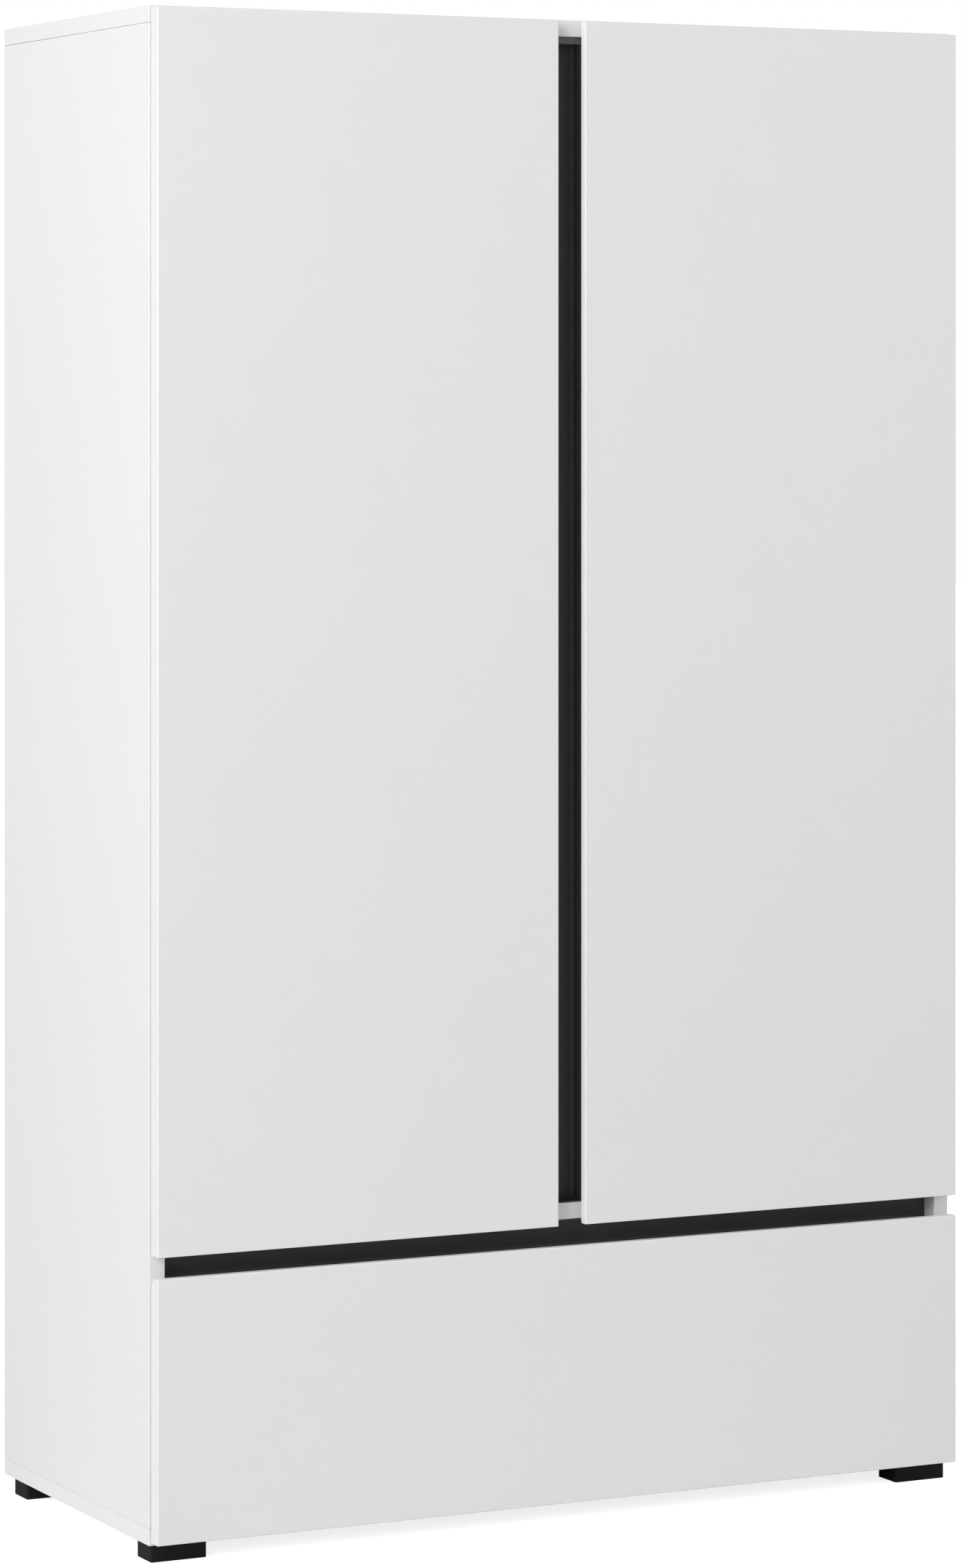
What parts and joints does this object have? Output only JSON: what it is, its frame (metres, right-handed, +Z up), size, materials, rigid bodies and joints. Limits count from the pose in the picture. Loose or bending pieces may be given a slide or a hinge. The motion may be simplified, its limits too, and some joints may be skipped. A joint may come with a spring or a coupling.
{
  "type": "wardrobe with doors",
  "caption": "Tall white wardrobe with hinged slab doors over a full-width drawer, recessed black finger channels instead of handles and low block feet.",
  "frame": {"origin": "on the floor, under the middle of the outer box", "axes": "+X to the right seen from the front, +Y to the back (the doors face -Y), +Z up"},
  "size_m": [1.2, 0.5324, 2.0025],
  "materials": {
    "white_board": "chipboard with a fine matt white melamine face and edge bands",
    "back_sheet": "hardboard, white lacquer inside, bare brown outside",
    "drawer_box": "white wrapped chipboard",
    "black_channel": "matt black powder-coated aluminium profile",
    "grey_cap": "dark grey moulded plastic",
    "black_foot": "black moulded plastic, fine satin texture",
    "steel": "nickel-plated pressed steel",
    "rail": "satin anodised oval tube"
  },
  "bodies": {
    "carcass": {"back_joint_strip": "back_sheet", "back_sheet_left": "back_sheet", "back_sheet_right": "back_sheet", "bottom_panel": "white_board", "centre_partition": "white_board", "channel_top_cap": "grey_cap", "divider_shelf": "white_board", "foot_front_left": "black_foot", "foot_front_right": "black_foot", "foot_rear_left": "black_foot", "foot_rear_right": "black_foot", "hanging_rail": "rail", "hat_shelf": "white_board", "hinge_arm_left_1": "steel", "hinge_arm_left_2": "steel", "hinge_arm_left_3": "steel", "hinge_arm_right_1": "steel", "hinge_arm_right_2": "steel", "hinge_arm_right_3": "steel", "horizontal_handle_channel": "black_channel", "rail_flange_left": "steel", "rail_flange_right": "steel", "runner_cabinet_member_left": "steel", "runner_cabinet_member_right": "steel", "shelf_left_1": "white_board", "shelf_left_2": "white_board", "shelf_left_3": "white_board", "shelf_left_4": "white_board", "side_panel_left": "white_board", "side_panel_right": "white_board", "top_panel": "white_board", "vertical_handle_channel": "black_channel", "wall_bracket_left": "steel", "wall_bracket_right": "steel"},
    "left_door": {"door_left": "white_board", "hinge_cup_left_1": "steel", "hinge_cup_left_2": "steel", "hinge_cup_left_3": "steel"},
    "right_door": {"door_right": "white_board", "hinge_cup_right_1": "steel", "hinge_cup_right_2": "steel", "hinge_cup_right_3": "steel"},
    "left_hinge_links": {"hinge_link_left_1": "steel", "hinge_link_left_2": "steel", "hinge_link_left_3": "steel"},
    "right_hinge_links": {"hinge_link_right_1": "steel", "hinge_link_right_2": "steel", "hinge_link_right_3": "steel"},
    "drawer": {"drawer_back": "drawer_box", "drawer_bottom": "drawer_box", "drawer_bottom_rail": "drawer_box", "drawer_front": "white_board", "drawer_side_left": "drawer_box", "drawer_side_right": "drawer_box", "runner_drawer_member_left": "steel", "runner_drawer_member_right": "steel"},
    "left_runner_middle": {"runner_middle_member_left": "steel"},
    "right_runner_middle": {"runner_middle_member_right": "steel"}
  },
  "joints": [
    {"name": "left_door_hinge", "type": "hinge", "parent": "carcass", "child": "left_door", "pos_m": [-0.5905, -0.2572, 0], "axis": [0, 0, -1], "range_deg": [0, 100]},
    {"name": "left_hinge_link_turn", "type": "hinge", "parent": "carcass", "child": "left_hinge_links", "pos_m": [-0.5665, -0.2486, 0], "axis": [0, 0, 1], "range_deg": [0, 25.1]},
    {"name": "right_door_hinge", "type": "hinge", "parent": "carcass", "child": "right_door", "pos_m": [0.5905, -0.2572, 0], "axis": [0, 0, 1], "range_deg": [0, 100]},
    {"name": "right_hinge_link_turn", "type": "hinge", "parent": "carcass", "child": "right_hinge_links", "pos_m": [0.5665, -0.2486, 0], "axis": [0, 0, -1], "range_deg": [0, 25.1]},
    {"name": "drawer_slide", "type": "slide", "parent": "carcass", "child": "drawer", "axis": [0, -1, 0], "range_m": [0, 0.45]},
    {"name": "left_runner_slide", "type": "slide", "parent": "carcass", "child": "left_runner_middle", "axis": [0, -1, 0], "range_m": [0, 0.226]},
    {"name": "right_runner_slide", "type": "slide", "parent": "carcass", "child": "right_runner_middle", "axis": [0, -1, 0], "range_m": [0, 0.226]}
  ],
  "couplings": [
    {"joint": "left_hinge_link_turn", "follows": "left_door_hinge", "ratio": 0.25},
    {"joint": "right_hinge_link_turn", "follows": "right_door_hinge", "ratio": 0.25},
    {"joint": "left_runner_slide", "follows": "drawer_slide", "ratio": 0.5},
    {"joint": "right_runner_slide", "follows": "drawer_slide", "ratio": 0.5}
  ]
}
